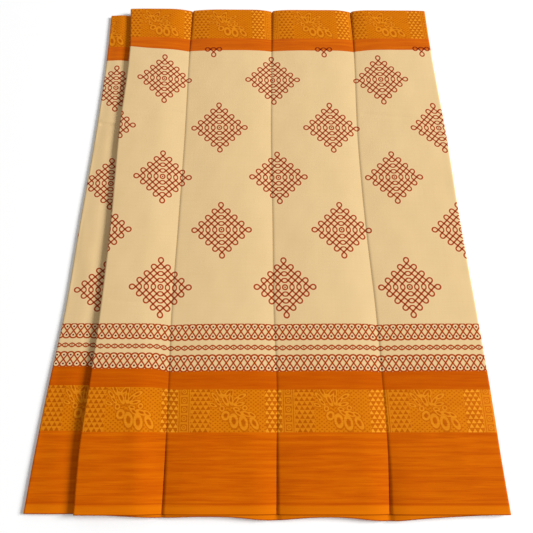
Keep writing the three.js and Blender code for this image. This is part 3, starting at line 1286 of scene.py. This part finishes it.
def turn(edge: np.ndarray, side: Side, across: float, low: float, high: np.ndarray, steps: int) -> np.ndarray:
    """Half an ellipse round a fold at each row, from its lower side to its upper side.

    Args:
        edge: X of the fold's edge at each row.
        side: which way it turns.
        across: half the ellipse's size across.
        low: height of its lower side.
        high: height of its upper side at each row.
        steps: how many faces it has.

    Returns:
        Its points, as X and Z.
    """
    angle = np.linspace(0.0, math.pi, steps + 1)[None, :]
    centre = edge[:, None] - side.value * across
    x = centre + side.value * across * np.sin(angle)
    z = low + (high[:, None] - low) / 2.0 * (1.0 - np.cos(angle))
    return np.stack((x, z), axis=-1)


def level(start: np.ndarray, offsets: np.ndarray, height: float) -> np.ndarray:
    """A level stretch of the section at each row.

    Args:
        start: X at which it starts, one for each row.
        offsets: how far each of its points is from there.
        height: its height.

    Returns:
        Its points, as X and Z.
    """
    x = start[:, None] + offsets[None, :]
    return np.stack((x, np.full_like(x, height)), axis=-1)


def dropped(edge: np.ndarray) -> np.ndarray:
    """Moves an edge of a face down into its crease, so that no light passes there.

    Args:
        edge: points of the edge, as X and Z.

    Returns:
        The lower points.
    """
    below = edge.copy()
    below[..., 1] -= SLIT
    return below


@dataclass
class ClothPiece:
    """A piece of the saree, with the name of the CAD node that it stands for."""

    finishes: list[bpy.types.Material]
    name: str

    def dress(self, piece: bpy.types.Object, slot: str, flat: tuple[float, float] | None) -> None:
        """Gives the piece its finishes, and logs the size of its cut where it is a sheet.

        Args:
            piece: the finished mesh.
            slot: the record's material slot; not used.
            flat: size of its cut, or None for a piece that isn't a sheet.
        """
        for finish in self.finishes:
            piece.data.materials.append(finish)
        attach(piece, "root")
        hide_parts(self.name)
        if flat is not None:
            log.info("%s is a sheet %.0f x %.0f mm", self.name, flat[0] / MM, flat[1] / MM)


@dataclass
class Pleat(ClothPiece):
    """One stretch of the face, with the fold that bounds it where it has one.

    Attributes:
        left: fold line at its left.
        right: fold line at its right.
        rise: how much higher it lies than the rest of the face, away from crease 1.
        near_shift: how far the pattern lies to the left in the near bands.
        far_shift: how far it lies to the left in the far band.
        knot: X between which the last knots take the far shift too.
        knot_rows: distances between which they do.
        steps: how many faces there are across it.
        turn_steps: how many faces there are round its fold.
    """

    left: Line
    right: Line
    rise: float = 0.0
    near_shift: float = 0.0
    far_shift: float = 0.0
    knot: tuple[float, float] = (1.0, 2.0)
    knot_rows: tuple[float, float] = (0.370, 0.410)
    steps: int = 60
    turn_steps: int = 14

    def face(self, rows: np.ndarray) -> np.ndarray:
        """Face of the pleat between its bounds.

        Args:
            rows: distances of the rows.

        Returns:
            Its points at each row, as X and Z.
        """
        left = LINES.at(self.left, rows) + (FRONT_TURN if self.left is Line.FRONT else SEAM_GAP)
        right = LINES.at(self.right, rows) - (RIGHT_TURN if self.right is Line.RIGHT else 0.0)
        x = left[:, None] + (right - left)[:, None] * columns(self.steps)[None, :]
        y = np.broadcast_to(rows[:, None], x.shape)
        rise = self.rise * (1.0 + 1.6 * smoothstep(y, -0.250, -0.430))
        z = face_height(x, y, rise * smoothstep(LINES.at(Line.CREASE_1, y) - x, 0.0, 0.06))
        soft = sum(fold.lift(x, y) for fold in FACE_FOLDS)
        ends = smoothstep(np.minimum(y - NEAR, FAR - y), 0.0, 0.03)
        return np.stack((x, z + (soft + ripple(x, y)) * ends), axis=-1)

    def section(self, rows: np.ndarray) -> tuple[np.ndarray, int]:
        """Whole section of the pleat.

        Args:
            rows: distances of the rows.

        Returns:
            Its points at each row, as X and Z, and the column at which its face begins.
        """
        face = self.face(rows)
        if self.left is Line.FRONT:
            edge = LINES.at(Line.FRONT, rows)
            low = UNDER_TOP + GAP
            fold = turn(edge, Side.LEFT, FRONT_TURN, low, face[:, 0, 1], self.turn_steps)
            under = level(edge + FRONT_TURN, (TUCK - FRONT_TURN) * np.linspace(1.0, 0.0, 9)[:-1], low)
            start = under.shape[1] + self.turn_steps
            return np.concatenate((under, fold[:, :-1], face, dropped(face[:, -1:])), axis=1), start
        if self.right is Line.RIGHT:
            edge = LINES.at(Line.RIGHT, rows)
            fold = turn(edge, Side.RIGHT, RIGHT_TURN, 0.0, face[:, -1, 1], self.turn_steps)[:, ::-1]
            lip = level(edge - RIGHT_TURN, -LIP * np.linspace(0.0, 1.0, 7)[1:], 0.0)
            return np.concatenate((dropped(face[:, :1]), face, fold[:, 1:], lip), axis=1), 1
        return np.concatenate((dropped(face[:, :1]), face, dropped(face[:, -1:])), axis=1), 1

    def build(self) -> bpy.types.Object:
        """Makes the pleat as a sheet, with its place on the flat cloth as UV.

        Returns:
            The finished piece.
        """
        rows = cloth_rows()
        section, start = self.section(rows)
        lengths = arc_lengths(section)
        along = section[:, start, 0][:, None] + lengths - lengths[:, start][:, None]
        y = np.broadcast_to(rows[:, None], along.shape)
        x = section[..., 0]
        points = np.stack((x, slanted(x, y + self.pull(x, y)), section[..., 1]), axis=-1)
        uv = np.stack((along + self.weave_shift(x, y), y), axis=-1)
        piece = add_sheet(self.name, points, uv, row_finish(rows))
        self.dress(piece, "face_cloth", (float(lengths[:, -1].mean()), CLOTH_WIDTH))
        return piece

    def weave_shift(self, x: np.ndarray, y: np.ndarray) -> np.ndarray:
        """How far the end bands' pattern lies to the left, as more or less cloth is in the folds.

        Args:
            x: places across the pleats.
            y: places along them.

        Returns:
            The shift at each place.
        """
        near = 1.0 - smoothstep(y, ZARI_FAR, PRINT_NEAR)
        beside = x - 0.045 * np.exp(-((y - 0.340) / 0.035) ** 2)
        knot = smoothstep(beside, *self.knot) * smoothstep(y, *self.knot_rows)
        return self.near_shift * near + self.far_shift * np.maximum(knot, smoothstep(y, 0.452, TOP_ZARI))

    def pull(self, x: np.ndarray, y: np.ndarray) -> np.ndarray:
        """How far the rows are drawn along: farther in pleat 1, and nearer at the creases.

        Args:
            x: places across the pleats.
            y: places along them.

        Returns:
            How much farther along each place lies.
        """
        share = np.clip((-0.19 - x) / 0.13, 0.0, 1.0)
        fade = 1.0 - 0.8 * smoothstep(y, CREAM_FAR, TOP_ZARI)
        ends = smoothstep(y, NEAR, NEAR + 0.15) * smoothstep(FAR - y, 0.0, 0.05)
        low = 0.004 * smoothstep(x, -0.16, -0.22) * (1.0 - smoothstep(y, PRINT_NEAR, CREAM_NEAR))
        low = low * smoothstep(y, -0.430, -0.345)
        total = 0.0015 + low + (0.004 * share + 0.006 * share ** 3) * smoothstep(y, -0.1, 0.4)
        depth = smoothstep(y, -0.350, -0.290) * (1.0 - 0.5 * smoothstep(y, -0.200, -0.120))
        for crease in CREASES:
            across = x - LINES.at(crease.line, y)
            near = np.exp(-np.minimum(across, 0.0) ** 2 / 0.016 ** 2 - np.maximum(across, 0.0) / 0.050)
            total = total - crease.dip * depth * near
        right = smoothstep(x, 0.195, 0.250) * smoothstep(y, 0.280, 0.380) * smoothstep(y, 0.500, 0.440)
        return total * fade * ends + 0.0012 * smoothstep(y, 0.300, 0.420) + 0.0032 * right


@dataclass
class UnderPleat(ClothPiece):
    """The pleat beneath, whose left part shows beside pleat 1."""

    name: str = "under_pleat"
    steps: int = 26
    turn_steps: int = 12

    def build(self) -> bpy.types.Object:
        """Makes the lower pleat from its lip round its fold to its tucked edge.

        Returns:
            The finished piece.
        """
        flat_rows = cloth_rows()
        rows = np.interp(flat_rows, *zip(*UNDER_PULL))
        edge = LINES.at(Line.UNDER, rows)
        shown = LINES.at(Line.FRONT, rows)
        lip = level(edge + UNDER_TURN, LIP * np.linspace(1.0, 0.0, 7)[:-1], 0.0)
        fold = turn(edge, Side.LEFT, UNDER_TURN, 0.0, np.full_like(rows, UNDER_TOP), self.turn_steps)
        tuck = level(shown, TUCK * np.linspace(0.0, 1.0, 9)[1:], UNDER_TOP - TUCK_DIP)
        section = np.concatenate((lip, fold, self.top(rows, edge, shown), tuck), axis=1)
        lengths = arc_lengths(section)
        start = lip.shape[1] + self.turn_steps
        along = section[:, start, 0][:, None] + lengths - lengths[:, start][:, None]
        points = np.insert(section, 1, np.broadcast_to(rows[:, None], along.shape), axis=-1)
        flat_y = np.broadcast_to(flat_rows[:, None], along.shape)
        shift = UNDER_SHIFT - UNDER_NEAR_SHIFT * (1.0 - smoothstep(flat_y, ZARI_FAR, PRINT_NEAR))
        uv = np.stack((along + shift, flat_y), axis=-1)
        piece = add_sheet(self.name, points, uv, row_finish(flat_rows))
        self.dress(piece, "face_cloth", (float(lengths[:, -1].mean()), UNDER_FAR - UNDER_NEAR))
        return piece

    def top(self, rows: np.ndarray, edge: np.ndarray, shown: np.ndarray) -> np.ndarray:
        """The stretch that shows, a little higher along its middle.

        Args:
            rows: distances of the rows.
            edge: X of its fold at each row.
            shown: X of pleat 1's fold at each row.

        Returns:
            Its points, as X and Z.
        """
        part = columns(self.steps)[None, 1:]
        x = (edge + UNDER_TURN)[:, None] + (shown - edge - UNDER_TURN)[:, None] * part
        y = np.broadcast_to(rows[:, None], x.shape)
        lift = sum(fold.lift(x, y) for fold in UNDER_FOLDS) * smoothstep(part, 0.0, 0.15)
        z = UNDER_TOP + UNDER_CROWN * np.sin(np.pi * part) ** 2 + lift + ripple(x, y)
        z -= TUCK_DIP * smoothstep(x - shown[:, None], -0.022, -0.001)
        return np.stack((x, z), axis=-1)


def hem_shows(x: np.ndarray) -> np.ndarray:
    """How far the hem beneath shows past the near selvedge."""
    total = sum(wave.reach * np.exp(-((x - wave.at) / wave.spread) ** 2) for wave in HEM_WAVES)
    return np.minimum(0.010, total)


@dataclass
class UnderHem(ClothPiece):
    """The selvedge of the layer beneath, which shows in a wave at the near end."""

    name: str = "under_hem"
    steps: int = 180
    rows: int = 12

    def build(self) -> bpy.types.Object:
        """Makes the strip with its place on the flat cloth as UV.

        Returns:
            The finished piece.
        """
        x = np.linspace(HEM_LEFT, HEM_RIGHT, self.steps + 1)[None, :]
        share = np.linspace(0.0, 1.0, self.rows + 1)[:, None]
        near = NEAR - hem_shows(x)
        y = near + (HEM_ROOT - near) * share
        x = np.broadcast_to(x, y.shape)
        droop = HEM_DROOP * np.maximum(0.0, NEAR - y)
        z = face_height(x, np.maximum(y, NEAR)) - HEM_BELOW - droop
        uv = np.stack((x + HEM_SHIFT, y - near + NEAR), axis=-1)
        finish = np.full(self.rows, Cloth.PLAIN.value)
        piece = add_sheet(self.name, np.stack((x, y, z), axis=-1), uv, finish)
        self.dress(piece, "border_cloth", (HEM_RIGHT - HEM_LEFT, HEM_CUT))
        return piece


@dataclass(frozen=True)
class Layer:
    """A hidden layer's edge, as it shows at both ends between the folds.

    Attributes:
        upper: whether it lies in the upper folds.
        share: its height between the lowest and the highest of its folds.
        reach: how far it comes out of the core.
        wave: height of the wave in its edge.
        length: length of that wave.
        phase: where the wave begins.
    """

    upper: bool
    share: float
    reach: float
    wave: float
    length: float
    phase: float


LAYERS = (
    Layer(False, 0.00, 0.0085, 0.0021, 0.250, 0.4),
    Layer(False, 0.34, 0.0098, 0.0017, 0.310, 2.3),
    Layer(False, 0.66, 0.0078, 0.0024, 0.222, 4.1),
    Layer(False, 1.00, 0.0102, 0.0015, 0.274, 5.5),
    Layer(True, 0.05, 0.0096, 0.0019, 0.290, 3.3),
    Layer(True, 0.29, 0.0080, 0.0025, 0.236, 0.9),
    Layer(True, 0.53, 0.0104, 0.0016, 0.262, 5.0),
    Layer(True, 0.76, 0.0086, 0.0022, 0.214, 2.7),
    Layer(True, 1.00, 0.0094, 0.0018, 0.301, 4.6),
)


@dataclass
class HiddenLayers(ClothPiece):
    """The layers inside the stack: a rounded core with thin wavy edges at both ends.

    Attributes:
        core_steps: how many faces there are across the core.
        steps: how many faces there are along a layer's edge.
        inset: how far the core stays inside the folds.
        below_face: how far it stays below the face.
        below_under: how far it stays below the pleat beneath.
        shoulder: how far its right side is rounded down.
        shoulder_run: width of that rounding.
        foot: how far its underside is raised over the lips.
    """

    name: str = "folded_layers"
    core_steps: int = 90
    steps: int = 120
    inset: float = 0.003
    below_face: float = 0.0042
    below_under: float = 0.0020
    shoulder: float = 0.004
    shoulder_run: float = 0.010
    foot: float = 0.0013

    def build(self) -> bpy.types.Object:
        """Makes the core and the edges as one piece.

        Returns:
            The finished piece.
        """
        parts = [self.core()]
        for number, layer in enumerate(LAYERS):
            for end, finish in ((NEAR, Cloth.PLAIN), (UNDER_FAR, Cloth.ZARI)):
                parts.append(self.edge(layer, number, end, finish))
        bpy.ops.object.select_all(action="DESELECT")
        for part in parts:
            part.select_set(True)
        bpy.context.view_layer.objects.active = parts[0]
        bpy.ops.object.join()
        piece = bpy.context.object
        self.dress(piece, "inner_cloth", None)
        log.info("%s has %d layer edges at each end", self.name, len(LAYERS))
        return piece

    def core(self) -> bpy.types.Object:
        """The rounded core, clear of the cloth that wraps it.

        Returns:
            The core as a closed body.
        """
        rows = cloth_rows()
        inside = rows[(rows > NEAR + SETBACK + 0.002) & (rows < UNDER_FAR - SETBACK - 0.002)]
        rows = np.concatenate(([NEAR + SETBACK], inside, [UNDER_FAR - SETBACK]))
        left = LINES.at(Line.UNDER, rows)[:, None] + self.inset
        right = LINES.at(Line.RIGHT, rows)[:, None] - self.inset
        x = left + (right - left) * columns(self.core_steps)[None, :]
        y = np.broadcast_to(rows[:, None], x.shape)
        round_off = self.shoulder * np.maximum(0.0, 1.0 - (right - x) / self.shoulder_run) ** 2
        floor = UNDER_TOP - self.below_under
        over = face_height(x, y) - self.below_face - round_off - floor
        top = floor + over * smoothstep(x - LINES.at(Line.FRONT, y) - TUCK, 0.0, 0.004)
        inner = smoothstep(x - left, LIP + 0.003, LIP + 0.005)
        inner = inner * smoothstep(right - x, LIP + 0.011, LIP + 0.013)
        points = np.stack((x, slanted(x, y), top), axis=-1)
        lower = np.stack((x, slanted(x, y), self.foot * (1.0 - inner)), axis=-1)[:, ::-1]
        ring = np.concatenate((points, lower, points[:, :1]), axis=1)
        along = np.concatenate((x, 2.0 * right - x[:, ::-1], 2.0 * right - left), axis=1)
        flat_y = np.broadcast_to(rows[:, None], along.shape)
        return add_closed("core", ring, np.stack((along, flat_y), axis=-1), row_finish(rows))

    def edge(self, layer: Layer, number: int, end: float, finish: Cloth) -> bpy.types.Object:
        """One layer's edge at one end.

        Args:
            layer: the layer.
            number: which layer it is.
            end: distance of the selvedge there.
            finish: its finish.

        Returns:
            The edge as a thin closed sheet.
        """
        out = np.linspace(-0.006, layer.reach, 7)
        middle = end - SETBACK + out[::-1] if end > 0 else end + SETBACK - out
        if layer.upper:
            left = LINES.at(Line.FRONT, middle) + TUCK + 0.0015
        else:
            left = LINES.at(Line.UNDER, middle) + 0.0055
        right = LINES.at(Line.RIGHT, middle) - RIGHT_TURN - 0.0015
        if number == 0:
            left = left + LIP
            right = right - LIP
        x = left[:, None] + (right - left)[:, None] * np.linspace(0.0, 1.0, self.steps + 1)[None, :]
        y = np.broadcast_to(middle[:, None], x.shape)
        wave = layer.wave * np.sin(2.0 * math.pi * x / layer.length + layer.phase)
        if layer.upper:
            low = UNDER_TOP - 0.0009
            high = face_height(x, y) - 0.0032 - 0.0016 * (end < 0)
        else:
            low = CLOTH
            high = np.full_like(x, UNDER_TOP - TUCK_DIP - 0.0012)
        z = low + (high - low) * layer.share + 0.00008 * np.sin(61.0 * x + 3.0 * number)
        points = np.stack((x, slanted(x, y + wave), z), axis=-1)
        flat_y = y if end < 0 else y - UNDER_FAR + FAR
        uv = np.stack((x + 0.061 * number, flat_y), axis=-1)
        if end > 0:
            points, uv = points[::-1], uv[::-1]
        return add_sheet(f"edge_{number}", points, uv, np.full(6, finish.value))


@dataclass(frozen=True)
class Studio:
    """The pale floor, the soft light from the right and the camera at the photograph's angle."""

    floor_size: float = 12.0
    floor_gap: float = 0.0004
    floor_shade: float = 0.97
    sky: float = 0.420
    lamp_place: tuple[float, float, float] = (10.4, 1.0, 6.0)
    lamp_size: float = 4.6
    lamp_power: float = 2030.0
    lens: float = 35.0
    sensor: float = 36.0
    aim: tuple[float, float, float] = (0.0, -0.090, 0.0)
    elevation: float = math.radians(71.4)
    distance: float = 1.053

    def build(self) -> None:
        """Lays the floor, and sets the light and the camera."""
        self.lay_floor()
        self.light()
        self.aim_camera()

    def lay_floor(self) -> None:
        """Lays a plain pale floor under the saree."""
        bpy.ops.object.select_all(action="DESELECT")
        place = (0.0, 0.0, CAD_BOX[0][2] - self.floor_gap)
        bpy.ops.mesh.primitive_plane_add(size=self.floor_size, location=place)
        floor = bpy.context.object
        floor.name = "floor"
        paper = bpy.data.materials.new("floor_paper")
        paper.use_nodes = True
        shader = paper.node_tree.nodes["Principled BSDF"]
        shader.inputs["Base Color"].default_value = (*[self.floor_shade] * 3, 1.0)
        shader.inputs["Roughness"].default_value = 1.0
        floor.data.materials.append(paper)

    def light(self) -> None:
        """Sets a white sky and one large soft lamp."""
        world = bpy.data.worlds.new("studio")
        world.use_nodes = True
        sky = world.node_tree.nodes["Background"]
        sky.inputs["Color"].default_value = (1.0, 1.0, 1.0, 1.0)
        sky.inputs["Strength"].default_value = self.sky
        bpy.context.scene.world = world
        bpy.context.scene.view_settings.view_transform = "Standard"
        data = bpy.data.lights.new("right_window", "AREA")
        data.shape = "DISK"
        data.size = self.lamp_size
        data.energy = self.lamp_power
        lamp = bpy.data.objects.new("right_window", data)
        lamp.location = self.lamp_place
        lamp.rotation_euler = (-Vector(self.lamp_place)).to_track_quat("-Z", "Y").to_euler()
        bpy.context.scene.collection.objects.link(lamp)

    def aim_camera(self) -> None:
        """Sets the camera."""
        data = bpy.data.cameras.new("camera")
        data.lens = self.lens
        data.sensor_width = self.sensor
        camera = bpy.data.objects.new("camera", data)
        target = Vector(self.aim)
        reach = Vector((0.0, -math.cos(self.elevation), math.sin(self.elevation)))
        camera.location = target + self.distance * reach
        camera.rotation_euler = (target - camera.location).to_track_quat("-Z", "Y").to_euler()
        bpy.context.scene.collection.objects.link(camera)
        bpy.context.scene.camera = camera


def main() -> None:
    """Builds the saree, its floor, light and camera."""
    logging.basicConfig(level=logging.INFO, format="%(message)s")
    finishes = [finish.make() for finish in (KolamPrint(), BorderPrint(), ZariWeave(), PlainBorder())]
    pieces = (
        Pleat(finishes, "pleat_1", Line.FRONT, Line.CREASE_1, rise=0.0015, far_shift=-0.018),
        Pleat(finishes, "pleat_2", Line.CREASE_1, Line.CREASE_2, far_shift=0.010, knot=(-0.060, -0.085)),
        Pleat(finishes, "pleat_3", Line.CREASE_2, Line.CREASE_3),
        Pleat(finishes, "pleat_4", Line.CREASE_3, Line.RIGHT, near_shift=0.0165, far_shift=0.0190,
              knot=(0.292, 0.317), knot_rows=(0.050, 0.380)),
        UnderPleat(finishes),
        UnderHem(finishes),
        HiddenLayers(finishes),
    )
    for piece in pieces:
        piece.build()
    Studio().build()


if __name__ == "__main__":
    main()
